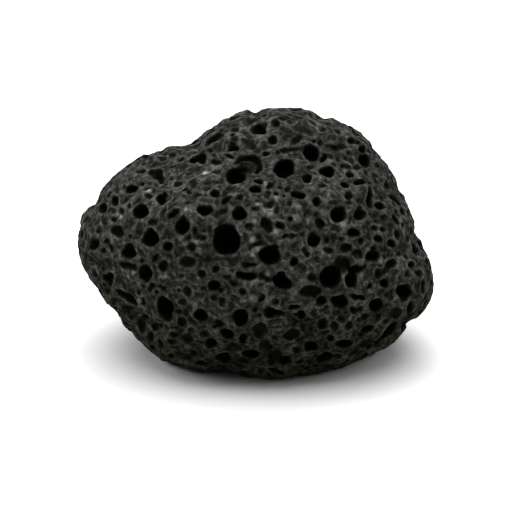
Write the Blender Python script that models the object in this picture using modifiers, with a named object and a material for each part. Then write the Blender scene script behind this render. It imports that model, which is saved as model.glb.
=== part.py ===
"""A lava rock: one tumbled lump of vesicular basalt, rounded on every side and open with gas bubbles.

The rock is built from overlapping lumps that are fused and worn smooth, ground flat where it rests, and then
opened by the bubbles that break its skin. Positions are in metres, +Z is up, the rock rests on Z = 0 and its
show face looks towards -Y and a little upwards.
"""

import math
import random

import bmesh
import bpy
from mathutils import Matrix, Vector
from mathutils.bvhtree import BVHTree

MM = 0.001
NAME = "lava_rock"

# The rock measures about 80 mm across, 60 mm from front to back and 54 mm high. Its show face leans
# back, and the frame of that face runs across, up, and towards whoever looks at it.
LEAN = math.radians(24)
ACROSS = Vector((1, 0, 0))
UP = Vector((0, math.sin(LEAN), math.cos(LEAN)))
TOWARD = Vector((0, -math.cos(LEAN), math.sin(LEAN)))
MIDDLE = Vector((0, 0.6 * MM, 24.4 * MM))
EYE = MIDDLE + 650 * MM * TOWARD  # the show face's bubbles are laid out as seen from here

# Lumps in the show face's frame, in millimetres: middle (across, up, toward) and half sizes.
LUMPS = {
    "core": ((0.5, -1.8, 0), (36, 26.8, 30)),
    "left_end": ((-22, 0.3, 0), (18, 15, 20)),
    "left_low": ((-20, -6, 0), (16.4, 13.2, 20)),
    "left_foot": ((-17.6, -13.4, 0), (13.2, 11.8, 18)),
    "left_shoulder": ((-20, 6.6, 0), (16.2, 14.1, 19)),
    "left_ridge": ((-17.5, 13.6, 0), (7.8, 8.6, 14)),
    "upper_left": ((-5, 16.4, 0), (10.4, 11.4, 18)),
    "crown_left": ((-2.5, 22, -1), (5.8, 7.9, 13)),
    "crown": ((7, 17, -1), (14.5, 13.9, 20)),
    "crown_right": ((13.5, 14.3, -1), (14.7, 14.2, 20)),
    "right_shoulder": ((18, 8.6, 0), (14.4, 14.3, 21)),
    "right_side": ((21, 2, 0), (14.7, 14.5, 21)),
    "right_end": ((25, -7.8, 0), (14.9, 13.2, 20)),
    "right_foot": ((21, -13.4, 0), (13.8, 11, 18)),
    "lower_right": ((13, -11.2, 0), (19, 17.6, 23)),
    "lower_middle": ((4, -12.2, 0), (20, 18.7, 24)),
    "lower_left": ((-9, -11, 0), (20.5, 18.4, 24)),
    "front_low": ((6, -6, 8), (24, 16, 22)),
    "front_left": ((-10, 2, 8), (22, 16, 21)),
    "back_right": ((12, 3, -11), (20, 15, 19)),
    "back_left": ((-12, -3, -10), (19, 15, 20)),
    "back_low": ((3, -12, -9), (20, 12, 17)),
}
FUSE_STEP = 1 * MM
WEAR_ROUNDS = 18
SKIN_SHARE = 0.065  # the share of its faces that the fused lump keeps

# Bubbles open on the show face, in its frame, in millimetres: middle (across, up), opening (wide,
# high), the opening's roll in degrees, and depth as a share of the opening's mean half size.
SHOW_BUBBLES = [
    (-6.6, 0.7, 6.1, 6.0, 0, 1.2),
    (6.1, 16.8, 4.7, 4.3, 0, 1.2),
    (3.3, -2.5, 4.1, 3.7, 0, 1.2),
    (16.8, -7.4, 4.3, 4.0, 0, 1.2),
    (-20.6, -14.1, 3.7, 4.2, 20, 1.2),
    (-5.0, 15.4, 3.8, 3.3, 0, 1.1),
    (12.3, 20.6, 3.3, 3.1, 0, 1.2),
    (18.2, 6.2, 3.0, 3.2, 0, 1.2),
    (-26.2, 7.0, 3.4, 3.3, 0, 1.2),
    (-23.9, 1.2, 3.5, 3.7, 0, 1.2),
    (-28.7, -1.8, 3.0, 3.2, 0, 1.1),
    (-16.7, 3.8, 3.0, 3.3, 0, 1.2),
    (-22.2, 15.5, 3.2, 2.8, 0, 1.1),
    (-12.4, 19.0, 2.6, 2.5, 0, 1.1),
    (1.1, 25.7, 2.8, 2.6, 0, 1.1),
    (-3.8, 6.8, 2.9, 2.4, 0, 1.1),
    (-11.7, 7.5, 3.1, 2.3, 0, 1.1),
    (-3.6, -16.8, 3.5, 3.4, 0, 1.1),
    (26.8, -13.5, 3.1, 2.5, 0, 1.2),
    (18.7, -13.0, 3.4, 2.2, 0, 0.9),
    (33.1, -10.8, 3.4, 3.0, 0, 1.0),
    (15.4, 16.0, 3.0, 2.4, 0, 1.1),
    (24.1, 18.8, 2.6, 3.0, 0, 1.1),
    (-6.6, -20.2, 3.0, 2.1, -25, 1.0),
    (-12.5, -16.3, 3.0, 2.4, -25, 1.0),
    (-24.9, -6.7, 2.7, 3.0, 0, 1.2),
    (5.8, -8.9, 4.2, 2.6, -12, 0.7),
    (26.3, -2.9, 3.2, 2.4, 20, 0.9),
    (19.6, -4.6, 3.4, 2.4, 0, 0.5),
    (13.0, 0.7, 2.6, 2.8, 0, 0.8),
    (-31.1, 2.8, 2.7, 2.6, 0, 0.8),
    (-21.3, 10.2, 2.5, 3.0, -35, 0.9),
    (15.2, -25.9, 3.6, 2.1, 15, 1.1),
    (12.3, -23.2, 3.0, 2.1, 0, 1.0),
    (-1.4, -24.9, 3.1, 2.0, 0, 1.0),
    (-7.6, -25.8, 3.6, 2.0, -10, 0.8),
    (19.8, -22.8, 3.7, 1.8, 8, 0.8),
    (25.0, -19.2, 3.0, 1.8, 25, 0.9),
    (-33.4, -7.9, 2.2, 3.2, 15, 1.0),
    (21.3, -8.5, 2.6, 2.8, 0, 0.9),
]

# Bubbles open on the other sides, largest first: how many of them, and how wide in millimetres.
OTHER_BUBBLES = [(3, 5.6), (7, 4.4), (14, 3.5), (22, 2.9)]
OTHER_SEED = 11
OTHER_DEPTH = 1.2  # as a share of the opening's half size
SHOW_EDGE = 0.35  # skin that faces further towards the eye than this, as a cosine, is the show face's
UNDERSIDE = -0.9  # skin that faces further down than this, as a cosine, stays whole
BUBBLE_GAP = 1.2 * MM
BASE_CLEAR = 3.5 * MM
SINK = 0.25  # how far under the skin a bubble's middle lies, as a share of its depth
GRAZING = 0.5  # the steepest slope, as a cosine, that a show face bubble is stretched to follow
WIDE_BUBBLE = 4 * MM  # wider openings have more sides


def stone():
    made = bpy.data.materials.new("basalt")
    made.use_nodes = True
    shader = made.node_tree.nodes["Principled BSDF"]
    shader.inputs["Base Color"].default_value = (0.048, 0.047, 0.043, 1)
    shader.inputs["Roughness"].default_value = 0.95
    shader.inputs["Metallic"].default_value = 0
    return made


def new_object(name, shape, into):
    mesh = bpy.data.meshes.new(name)
    shape.to_mesh(mesh)
    shape.free()
    made = bpy.data.objects.new(name, mesh)
    into.objects.link(made)
    return made


def fused_lumps():
    """The lumps as one object, fused, worn smooth and thinned."""
    show_frame = Matrix((ACROSS, UP, TOWARD)).transposed().to_4x4()
    shape = bmesh.new()
    for middle, half in LUMPS.values():
        place = Matrix.Translation(MIDDLE) @ show_frame
        place @= Matrix.Translation(Vector(middle) * MM)
        place @= Matrix.Diagonal(Vector(half) * MM).to_4x4()
        bmesh.ops.create_icosphere(shape, subdivisions=5, radius=1, matrix=place)
    made = new_object(NAME, shape, model)
    fuse = made.modifiers.new("fuse", "REMESH")
    fuse.mode = "VOXEL"
    fuse.voxel_size = FUSE_STEP
    wear = made.modifiers.new("wear", "SMOOTH")
    wear.factor = 0.5
    wear.iterations = WEAR_ROUNDS
    thin = made.modifiers.new("thin", "DECIMATE")
    thin.ratio = SKIN_SHARE
    return made


def as_cutter(cutter):
    cutter.hide_render = True
    cutter.display_type = "WIRE"
    return cutter


def grind_flat(lump):
    """Cuts the lump off level, at the face that it rests on."""
    side = 100 * MM
    shape = bmesh.new()
    bmesh.ops.create_cube(shape, size=side, matrix=Matrix.Translation((0, 0, -side / 2)))
    rest = lump.modifiers.new("rest", "BOOLEAN")
    rest.operation = "DIFFERENCE"
    rest.object = as_cutter(new_object("ground", shape, cutters))


def skin_of(lump):
    """The lump's skin, for finding points on it, and its mesh."""
    depsgraph = bpy.context.evaluated_depsgraph_get()
    depsgraph.update()
    shape = bmesh.new()
    shape.from_object(lump, depsgraph)
    bmesh.ops.triangulate(shape, faces=shape.faces[:])
    return BVHTree.FromBMesh(shape), shape


def bubble(point, half_a, half_b, half_depth):
    """An ellipsoid whose opening at a point of the skin has two given half axes."""
    middle = point - SINK * half_depth
    place = Matrix((half_a, half_b, half_depth)).transposed().to_4x4()
    place.translation = middle
    sides = 12 if half_a.length > WIDE_BUBBLE / 2 else 8
    shape = bmesh.new()
    bmesh.ops.create_uvsphere(shape, u_segments=sides, v_segments=sides // 2 + 1, radius=1, matrix=place)
    return as_cutter(new_object("bubble", shape, bubbles))


def show_bubbles(skin):
    """Opens the show face's bubbles where sight lines from the eye meet the skin."""
    placed = []
    for across, up, wide, high, roll, depth in SHOW_BUBBLES:
        target = MIDDLE + (across * ACROSS + up * UP) * MM
        sight = (target - EYE).normalized()
        point, normal, _, _ = skin.ray_cast(EYE, sight)
        facing = min(sight.dot(normal), -GRAZING)
        turn = math.radians(roll)
        half_a = (math.cos(turn) * ACROSS + math.sin(turn) * UP) * wide * MM / 2
        half_b = (math.cos(turn) * UP - math.sin(turn) * ACROSS) * high * MM / 2
        half_a -= sight * (half_a.dot(normal) / facing)
        half_b -= sight * (half_b.dot(normal) / facing)
        bubble(point, half_a, half_b, normal * depth * (wide + high) * MM / 4)
        placed.append((point, max(wide, high) * MM / 2))
    return placed


def even_points(shape, dice):
    """Points spread evenly over a mesh at random, without end, with the skin's direction there."""
    faces = shape.faces[:]
    areas = [face.calc_area() for face in faces]
    while True:
        face = dice.choices(faces, areas)[0]
        a, b, c = (corner.co for corner in face.verts)
        u, v = sorted((dice.random(), dice.random()))
        yield u * a + (v - u) * b + (1 - v) * c, face.normal


def is_free(point, normal, radius, placed):
    """Whether a bubble fits here: off the show face, above the base and clear of the others."""
    if normal.dot(TOWARD) > SHOW_EDGE or normal.z < UNDERSIDE:
        return False
    if point.z < BASE_CLEAR + radius:
        return False
    return all((point - other).length > radius + reach + BUBBLE_GAP for other, reach in placed)


def other_bubbles(shape, placed):
    """Opens bubbles on the sides that the show face doesn't reach."""
    points = even_points(shape, random.Random(OTHER_SEED))
    widths = [width for count, width in OTHER_BUBBLES for _ in range(count)]
    for width in widths:
        radius = width * MM / 2
        point, normal = next(spot for spot in points if is_free(*spot, radius, placed))
        side = normal.orthogonal().normalized()
        bubble(point, side * radius, normal.cross(side) * radius, normal * radius * OTHER_DEPTH)
        placed.append((point, radius))


def main():
    rock = fused_lumps()
    grind_flat(rock)
    skin, shape = skin_of(rock)
    other_bubbles(shape, show_bubbles(skin))
    shape.free()
    opened = rock.modifiers.new("opened", "BOOLEAN")
    opened.operation = "DIFFERENCE"
    opened.operand_type = "COLLECTION"
    opened.collection = bubbles
    rock.data.materials.append(stone())


for old in list(bpy.data.objects):
    bpy.data.objects.remove(old)
model = bpy.data.collections.new(NAME)
cutters = bpy.data.collections.new("cutters")
bubbles = bpy.data.collections.new("bubbles")
for group in (model, cutters, bubbles):
    bpy.context.scene.collection.children.link(group)
main()
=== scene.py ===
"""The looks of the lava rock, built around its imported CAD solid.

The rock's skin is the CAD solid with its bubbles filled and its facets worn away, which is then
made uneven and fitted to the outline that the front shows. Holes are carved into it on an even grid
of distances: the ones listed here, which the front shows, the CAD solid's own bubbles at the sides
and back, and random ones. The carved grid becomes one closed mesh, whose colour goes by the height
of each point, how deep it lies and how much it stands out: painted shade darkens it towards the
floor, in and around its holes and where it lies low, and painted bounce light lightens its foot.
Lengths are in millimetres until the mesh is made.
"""

import math

import bpy
import numpy as np
import openvdb
from mathutils import Matrix


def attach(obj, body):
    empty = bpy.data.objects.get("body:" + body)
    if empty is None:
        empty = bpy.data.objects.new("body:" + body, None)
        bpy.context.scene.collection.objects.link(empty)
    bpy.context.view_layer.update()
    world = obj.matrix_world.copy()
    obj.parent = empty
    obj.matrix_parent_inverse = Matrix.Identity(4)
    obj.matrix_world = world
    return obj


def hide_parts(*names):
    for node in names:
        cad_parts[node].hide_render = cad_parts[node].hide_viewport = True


MM = 0.001
NODE = "lava_rock"
PIECE = "lava_rock_surface"
HOLE_SEED = 7
SPECK_SEED = 19

# The camera looks level across the rock and down on it by LEAN.
LEAN = math.radians(24)
ACROSS = np.array((1.0, 0.0, 0.0))
UP = np.array((0.0, math.sin(LEAN), math.cos(LEAN)))
TOWARD = np.array((0.0, -math.cos(LEAN), math.sin(LEAN)))
# The middle of the rock, and the middle of the picture a little left of it and below.
MIDDLE = np.array((0.0, 0.6, 24.4))
FRAME_LEFT = 0.113
FRAME_BELOW = 2.817
FRAME_CENTRE = MIDDLE - FRAME_LEFT * ACROSS - FRAME_BELOW * UP
# How far the eye is from there, and how wide the picture is there.
AWAY = 650.0
EYE = FRAME_CENTRE + AWAY * TOWARD
FRAME_WIDTH = 115.38
SENSOR = 36.0
CLIP_START = 10.0
# How far each side of AWAY the rock is looked for along a line of sight, and in what steps.
SIGHT_REACH = 60.0
SIGHT_STEP = 0.25

# Holes seen from the front: across, up, width, height and, where the width isn't level, its turn
# in degrees. Places are measured from MIDDLE in the plane that faces the camera.
DEEP_HOLES = (
    # upper left
    (-26.1, 16.2, 1.3, 0.8), (-22.3, 15.5, 2.3, 2.3), (-23.5, 16.0, 1.6, 1.1), (-21.9, 16.3, 1.4, 1.2),
    (-21.3, 14.5, 1.1, 1.6), (-28.0, 12.3, 2.4, 1.5), (-25.9, 13.3, 0.7, 0.7), (-25.3, 18.0, 0.7, 0.5),
    (-17.1, 19.0, 1.4, 0.6), (-14.2, 18.7, 1.6, 1.3), (-13.2, 19.3, 1.4, 1.2), (-17.8, 13.3, 1.4, 1.0),
    (-19.2, 14.6, 0.8, 0.8),
    # upper middle
    (-12.2, 19.2, 2.2, 2.4), (-5.4, 21.6, 2.2, 1.2), (-5.4, 22.5, 0.9, 1.0),
    (-6.4, 19.9, 1.8, 0.6, -30), (-9.2, 18.2, 1.8, 0.6), (-9.5, 19.8, 0.9, 0.9),
    (-10.4, 20.8, 0.8, 0.8), (-4.8, 25.8, 1.6, 0.8), (-4.8, 15.3, 4.1, 3.4), (-3.1, 15.0, 1.4, 1.8),
    (-2.8, 16.8, 2.0, 1.2), (0.8, 25.5, 2.8, 2.6), (-0.4, 25.7, 1.2, 1.2), (1.7, 26.8, 1.2, 1.0),
    (3.6, 23.4, 1.8, 1.6), (4.2, 27.4, 1.6, 1.5), (4.5, 20.6, 0.7, 0.7), (2.2, 20.1, 1.6, 0.7),
    (12.4, 20.4, 3.5, 3.2), (6.1, 16.6, 4.7, 4.2), (11.5, 14.8, 2.0, 1.5), (0.4, 14.1, 2.0, 0.9),
    (2.9, 13.0, 1.0, 1.2, -30), (-0.5, 12.2, 2.8, 1.5), (6.9, 12.2, 0.9, 0.9),
    # upper right
    (14.9, 25.7, 1.2, 0.8), (14.3, 22.5, 0.9, 0.9), (15.1, 19.2, 0.9, 2.3, -45),
    (18.4, 25.1, 1.1, 1.1), (21.4, 23.3, 1.8, 1.4), (22.8, 22.8, 1.2, 0.5), (17.6, 21.3, 1.4, 1.0),
    (19.0, 21.7, 1.0, 1.0), (19.9, 21.8, 0.6, 0.6), (20.8, 20.5, 1.2, 0.6), (23.8, 21.3, 1.8, 1.2),
    (25.3, 20.6, 1.0, 0.8), (24.2, 18.7, 2.7, 3.0), (16.8, 19.4, 0.6, 0.6), (17.4, 17.9, 0.9, 0.9),
    (19.6, 17.5, 1.2, 0.8), (20.7, 17.2, 1.0, 0.6), (15.7, 16.0, 3.2, 2.2), (17.0, 16.1, 1.2, 0.7),
    (21.0, 15.4, 1.6, 0.9), (23.4, 14.0, 2.2, 1.2, 15), (19.7, 13.2, 1.6, 1.0), (29.5, 13.0, 1.0, 1.4),
    (27.2, 17.6, 0.7, 0.7),
    # left
    (-33.0, 11.1, 0.9, 0.8), (-31.8, 9.4, 1.4, 1.9), (-34.6, 7.8, 1.7, 2.4, -15),
    (-28.7, 8.7, 1.0, 1.0), (-24.3, 10.7, 1.6, 0.8, -25), (-21.5, 10.0, 1.9, 2.2, 40),
    (-20.5, 11.1, 1.0, 1.2), (-21.6, 8.9, 0.9, 0.9), (-26.2, 7.0, 3.4, 3.3), (-30.3, 7.4, 0.8, 1.2),
    (-23.9, 1.2, 3.5, 3.7), (-23.9, 2.8, 1.6, 1.2), (-37.0, -0.2, 2.2, 2.4), (-28.7, -2.0, 3.0, 2.6),
    (-28.6, -0.9, 2.0, 1.8), (-27.1, -5.3, 0.5, 0.9), (-25.0, -6.7, 2.7, 3.2), (-33.5, -7.6, 2.0, 2.0),
    (-23.0, -3.1, 0.8, 1.8, -35), (-25.8, -3.9, 0.7, 0.7), (-39.2, 2.3, 0.4, 1.2),
    (-28.4, 1.6, 0.7, 0.7), (-34.5, -1.6, 0.9, 0.9), (-19.2, 6.5, 1.6, 1.0, 25),
    (-18.3, 7.2, 1.2, 0.9, 25), (-16.7, 3.7, 3.0, 3.3), (-16.4, 5.4, 1.3, 1.1), (-13.9, 2.9, 0.8, 1.6),
    (-15.4, 1.2, 1.2, 0.8, 30), (-13.3, 1.3, 0.8, 0.8), (-20.1, -0.9, 1.8, 1.9),
    # middle
    (-9.3, 11.2, 2.0, 1.2), (-3.8, 10.5, 1.3, 1.2), (-11.7, 7.8, 3.2, 1.9), (-11.6, 7.0, 1.8, 1.4),
    (-3.9, 6.5, 3.2, 2.4), (-3.8, 7.3, 1.8, 1.6), (-12.2, 1.3, 1.0, 1.0), (-9.4, -5.6, 1.2, 1.2),
    (-6.6, 0.5, 6.3, 6.1), (-6.9, 2.9, 4.6, 2.6), (9.5, 10.8, 3.0, 1.3), (9.9, 10.5, 1.8, 1.2),
    (2.6, 11.4, 0.9, 0.9), (4.3, 11.2, 0.8, 0.8), (2.1, 10.6, 0.8, 0.8), (6.6, 1.5, 1.4, 0.6, 20),
    (10.8, -1.5, 0.8, 0.8), (11.3, -2.3, 0.9, 0.9), (3.2, -2.6, 4.6, 4.0), (4.1, -1.1, 1.8, 1.6),
    (8.4, -4.2, 1.8, 1.8), (-2.4, -7.1, 4.3, 1.7, -12), (5.6, -7.3, 1.8, 1.6),
    # right
    (27.8, 8.3, 2.0, 1.2), (13.4, 9.4, 1.9, 2.0), (13.0, 0.7, 2.6, 2.8), (26.6, 3.4, 1.3, 0.9),
    (28.5, 3.2, 1.3, 1.0), (18.3, 6.3, 3.3, 3.3), (19.0, 7.6, 1.4, 1.2), (23.2, 6.5, 2.4, 2.1),
    (23.2, 7.6, 0.8, 1.4), (31.6, 2.2, 0.8, 1.6), (21.8, 2.4, 2.6, 1.6), (15.8, 0.7, 0.9, 0.9),
    (27.6, 1.0, 1.6, 1.4), (30.3, 0.0, 1.5, 1.7), (26.3, -2.9, 3.1, 2.3), (26.3, -1.2, 1.0, 1.4),
    (22.6, -5.5, 0.9, 0.9), (24.2, -5.2, 0.8, 0.8), (30.4, -4.5, 2.4, 1.5, 25), (34.1, 1.2, 0.6, 1.2),
    (35.6, -0.8, 1.2, 2.4, 15), (36.1, -2.3, 0.6, 0.6), (34.9, -4.9, 1.2, 1.6), (36.6, -6.6, 1.6, 1.2),
    (38.5, -4.0, 0.6, 1.2), (31.8, -2.3, 0.7, 0.7), (17.0, -7.5, 4.8, 4.8), (22.6, -6.0, 3.0, 1.6),
    # lower left
    (-24.8, -8.4, 0.9, 0.9), (-33.0, -8.8, 1.2, 1.4), (-20.6, -14.4, 3.7, 4.8, 20),
    (-19.9, -16.6, 1.6, 1.8), (-23.5, -9.5, 1.2, 1.0), (-24.0, -10.4, 0.9, 0.9),
    (-22.4, -10.8, 0.8, 0.8), (-20.6, -10.2, 0.8, 0.8), (-21.6, -9.4, 0.6, 0.6),
    (-28.3, -16.8, 1.4, 1.0), (-24.8, -16.4, 0.8, 0.8), (-21.7, -22.8, 1.2, 2.2),
    (-17.4, -15.4, 1.2, 0.7), (-17.4, -10.6, 0.7, 0.7), (-19.2, -25.3, 1.0, 0.8),
    (-23.8, -20.8, 0.8, 1.6), (-25.5, -13.0, 0.5, 1.4), (-14.1, -24.8, 1.2, 1.0),
    (-14.7, -19.4, 0.9, 0.9),
    # lower middle
    (-9.4, -9.4, 2.6, 2.2), (-8.0, -10.6, 0.9, 0.9), (-9.4, -12.4, 1.0, 0.8),
    (-12.5, -16.4, 3.0, 2.3, -25), (-3.6, -16.8, 3.5, 3.3), (-8.2, -17.9, 1.6, 0.6),
    (-6.6, -20.2, 2.9, 1.9, -25), (-10.2, -22.4, 2.2, 1.8), (-3.0, -21.6, 1.5, 1.8, -20),
    (-1.3, -24.8, 3.4, 2.0), (-7.5, -25.8, 3.6, 2.2, -12), (-12.4, -27.0, 2.8, 1.2, -10),
    (-4.3, -29.4, 1.8, 0.6, -15), (-9.5, -18.7, 1.0, 0.8), (-0.5, -14.8, 0.9, 0.9),
    (0.5, -16.1, 0.7, 0.7), (0.0, -19.1, 0.7, 0.7), (3.0, -15.8, 2.4, 2.2), (5.0, -15.8, 2.2, 0.9),
    (10.2, -16.0, 1.8, 1.9), (8.9, -16.0, 1.0, 0.6), (8.4, -14.3, 2.4, 0.7, 15),
    (12.3, -23.2, 2.9, 1.9), (8.9, -24.0, 0.9, 1.2), (6.3, -26.4, 2.6, 2.0),
    (9.8, -26.6, 1.8, 0.9, 15), (4.2, -29.2, 4.0, 0.9, -15), (11.2, -28.1, 1.4, 0.6, 15),
    (5.8, -8.7, 4.2, 2.8, -15),
    # lower right
    (29.0, -8.8, 1.8, 1.6), (33.1, -10.8, 3.4, 3.0), (33.0, -12.4, 1.2, 1.0), (29.3, -11.5, 0.7, 0.7),
    (30.4, -12.2, 0.7, 0.7), (15.5, -9.0, 1.6, 1.4), (21.4, -8.2, 2.4, 3.4), (14.7, -12.9, 2.3, 1.7),
    (18.7, -13.0, 3.5, 2.5), (20.1, -13.4, 0.8, 0.8), (22.9, -12.1, 2.8, 0.9),
    (22.0, -15.0, 1.6, 1.0, -25), (23.4, -14.8, 0.8, 0.7), (26.8, -13.6, 3.0, 2.4),
    (16.7, -21.3, 1.2, 1.4), (19.8, -22.8, 3.6, 1.4, 8), (15.2, -25.9, 3.6, 1.9, 15),
    (19.3, -27.1, 2.0, 0.9, 25), (20.6, -26.4, 1.2, 0.7), (25.0, -19.2, 2.8, 1.4, 25),
    (23.6, -20.3, 1.2, 0.6), (29.2, -17.5, 0.9, 0.9), (24.4, -16.4, 0.9, 1.2), (23.2, -17.1, 0.6, 0.6),
    (27.0, -19.6, 0.5, 0.5), (24.3, -24.9, 0.8, 0.8), (34.8, -14.6, 1.6, 2.8),
)

# The same for shallow holes.
SHALLOW_HOLES = (
    # upper left
    (-14.3, 13.4, 1.4, 1.4), (-18.9, 19.9, 1.2, 1.0), (-21.2, 19.2, 1.2, 0.7),
    # upper middle
    (5.9, 20.9, 1.5, 0.6), (-9.0, 16.2, 1.6, 0.7), (-4.8, 23.7, 1.2, 1.0), (-7.4, 25.7, 1.2, 0.8),
    (7.8, 27.4, 1.6, 0.8), (9.2, 23.5, 3.2, 1.2, 30), (12.2, 17.2, 1.2, 0.6), (8.6, 21.2, 2.4, 0.5),
    (12.6, 27.2, 1.4, 0.7, -45),
    # upper right
    (13.2, 23.2, 1.2, 0.7), (14.0, 28.2, 1.2, 0.5, -45), (19.2, 23.5, 0.7, 0.7),
    (15.0, 12.9, 1.4, 0.6), (26.5, 15.4, 0.7, 0.7),
    # left
    (-21.0, -5.0, 1.8, 2.3), (-31.9, 5.4, 1.4, 0.8), (-23.6, 4.8, 1.6, 1.0), (-33.7, 0.5, 1.2, 1.0),
    (-36.5, -6.5, 0.9, 1.6), (-35.5, 3.2, 0.8, 1.4), (-13.2, 10.8, 1.0, 0.6), (-15.5, 8.9, 1.2, 0.5),
    (-17.6, 0.5, 0.9, 0.9), (-14.6, -0.9, 1.8, 1.7), (-28.9, -5.0, 3.6, 1.3, -15),
    (-31.1, 2.8, 2.7, 2.6),
    # middle
    (5.2, 3.9, 2.2, 1.4, -30), (0.5, -0.1, 2.6, 1.0, 5), (-12.2, -6.9, 1.6, 1.5),
    (-7.8, 5.0, 1.6, 0.6, 30), (7.5, 9.2, 0.9, 1.2), (-0.2, 7.6, 1.8, 0.8), (2.1, 4.2, 3.2, 2.0, -45),
    (-1.3, 3.9, 1.6, 1.2), (8.4, 1.7, 1.2, 0.8), (0.6, 1.2, 0.8, 0.8), (4.6, 7.6, 0.9, 1.4),
    (-1.2, -0.8, 0.9, 0.9), (-6.6, -7.6, 1.2, 0.7), (1.2, -7.5, 1.4, 0.8),
    # right
    (28.9, -5.9, 2.4, 0.9, 40), (20.0, -1.0, 2.1, 2.0), (17.2, 9.2, 2.0, 0.6), (13.7, 6.4, 0.7, 0.7),
    (28.7, 5.7, 1.2, 0.8), (17.4, 1.4, 0.8, 1.4), (16.4, -1.5, 1.8, 1.2), (27.4, -7.0, 1.4, 2.0),
    (33.9, -7.0, 0.9, 0.9), (20.6, 10.6, 1.6, 2.0), (14.3, 4.4, 1.6, 1.9),
    # lower left
    (-33.6, -10.5, 1.0, 1.0), (-32.0, -12.8, 1.4, 1.0), (-25.9, -18.6, 1.6, 3.0),
    (-22.8, -18.6, 1.4, 1.8), (-18.7, -20.6, 1.4, 0.9), (-16.7, -13.2, 1.3, 1.1),
    (-17.0, -17.6, 1.8, 2.0), (-15.6, -21.5, 2.2, 1.9), (-15.6, -10.8, 1.5, 1.8),
    # lower middle
    (1.3, -12.0, 0.9, 2.2, -35), (-7.8, -13.1, 1.2, 1.4), (-3.2, -10.8, 1.4, 1.2),
    (4.3, -12.9, 1.0, 1.0), (3.6, -26.6, 1.2, 1.6), (0.5, -20.8, 1.2, 0.8), (-11.7, -20.5, 1.8, 1.4),
    # lower right
    (14.9, -18.1, 2.2, 2.2), (17.6, -18.5, 1.3, 1.9), (37.6, -9.8, 1.0, 3.0), (13.0, -15.7, 1.0, 1.8),
    (18.4, -25.3, 1.6, 0.6), (20.8, -18.3, 1.2, 1.6), (15.8, -23.2, 1.0, 1.0),
)

# The same for dents, whose floors stay grey.
DENTS = (
    (-1.6, -4.8, 3.2, 1.0), (-8.0, 7.1, 2.8, 1.1, 25), (22.5, -2.3, 2.4, 1.6), (-2.3, 17.2, 2.6, 2.2),
    (-8.4, -17.9, 2.2, 1.6), (4.2, -25.1, 2.6, 2.0), (7.7, -20.4, 3.8, 2.2), (0.8, -19.5, 2.6, 3.4),
    (9.8, -5.7, 1.8, 1.6), (12.5, -7.7, 1.6, 1.6), (-29.0, -15.0, 2.6, 1.8), (12.1, -10.8, 4.1, 2.4),
    (19.4, -4.5, 3.6, 3.0), (-15.4, -4.2, 3.2, 2.1),
)

# Narrow holes: across and up of one end, across and up of the other, width.
SLITS = (
    (-11.1, 22.6, -8.3, 24.6, 1.2), (-4.3, 18.5, -2.9, 19.2, 1.0), (-3.0, 19.2, -1.2, 19.5, 1.2),
    (-1.4, 19.4, 0.2, 18.8, 1.4), (0.1, 18.8, 0.5, 17.5, 1.4), (0.4, 17.6, 0.0, 16.3, 1.2),
    (30.4, 10.6, 32.3, 9.2, 0.9), (25.4, 12.3, 25.4, 8.3, 1.0), (-7.4, 9.1, -5.8, 10.3, 0.7),
    (30.8, 6.0, 31.8, 4.6, 0.9), (-31.0, -10.9, -27.2, -13.4, 1.4), (32.6, 7.8, 33.2, 6.4, 0.7),
    (28.2, -21.8, 31.0, -18.6, 1.4),
)

# Light specks seen from the front: across, up, size, brightness.
SPECKS = (
    (1.9, 7.5, 1.4, 0.5), (-11.5, 16.0, 1.2, 1.0), (-10.0, 17.1, 0.8, 0.5), (-9.2, 17.1, 0.8, 0.5),
    (-0.9, 0.9, 1.2, 0.9), (0.2, -1.2, 1.0, 0.7), (-1.0, -2.6, 1.0, 0.7), (2.0, 13.4, 1.1, 0.5),
    (4.5, 10.3, 1.1, 0.6), (6.3, 10.8, 1.0, 0.5), (8.8, 5.6, 1.2, 0.7), (9.6, 5.0, 1.0, 0.6),
    (11.6, 5.2, 1.0, 0.6), (3.2, 7.8, 1.2, 0.6), (3.2, 6.8, 1.2, 0.6), (-0.5, 5.1, 1.0, 0.5),
    (4.4, 2.8, 1.0, 0.5), (0.2, 8.9, 0.8, 0.5), (0.9, 8.9, 0.8, 0.5), (-15.8, 7.7, 1.0, 0.8),
    (-14.7, 7.7, 1.0, 0.8), (-13.4, 0.3, 1.0, 0.7), (-12.9, -1.4, 1.2, 0.4), (-17.2, 1.1, 1.2, 0.4),
    (-24.4, 11.9, 1.1, 0.6), (-31.3, 6.7, 0.8, 0.7), (-30.5, 6.1, 0.8, 0.7), (-0.9, -12.4, 1.3, 0.8),
    (-2.8, -12.9, 1.0, 0.5), (-21.3, -7.5, 0.9, 0.7), (-20.5, -7.5, 0.9, 0.7),
    (-26.5, -12.9, 1.1, 0.5), (-28.9, -7.6, 0.9, 0.5), (-27.8, -6.8, 0.9, 0.5),
    (-28.5, -4.4, 1.2, 0.4), (8.3, -11.3, 1.2, 0.5), (22.4, -13.5, 1.1, 0.5), (24.5, -8.9, 1.0, 0.6),
    (23.7, -7.2, 1.2, 0.5), (31.4, -12.3, 1.0, 0.5), (2.7, -6.9, 1.0, 0.4), (-0.2, -8.6, 1.2, 0.4),
    (10.3, -8.3, 1.4, 0.3), (19.5, 4.3, 1.6, 0.4), (21.1, -16.8, 1.0, 0.4), (28.0, -4.1, 1.2, 0.5),
    (-32.7, -2.7, 1.2, 0.4),
)
# How many more there are where the camera doesn't see well, with their sizes and brightness.
RANDOM_SPECKS = 70
RANDOM_SPECK_SIZES = (0.5, 1.0)
RANDOM_SPECK_LIGHTS = (0.2, 0.8)
# How far a speck fades out, as a share of its size.
SPECK_FADE = 0.42

# How deep a hole goes, as a share of half its mean width, and how far its middle lies under the skin
# as a share of that depth.
DEEP = 1.5
SHALLOW = 0.6
DENT = 0.3
SINK = 0.25
# A slit's depth as a share of half its own width.
SLIT = 1.9
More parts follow.
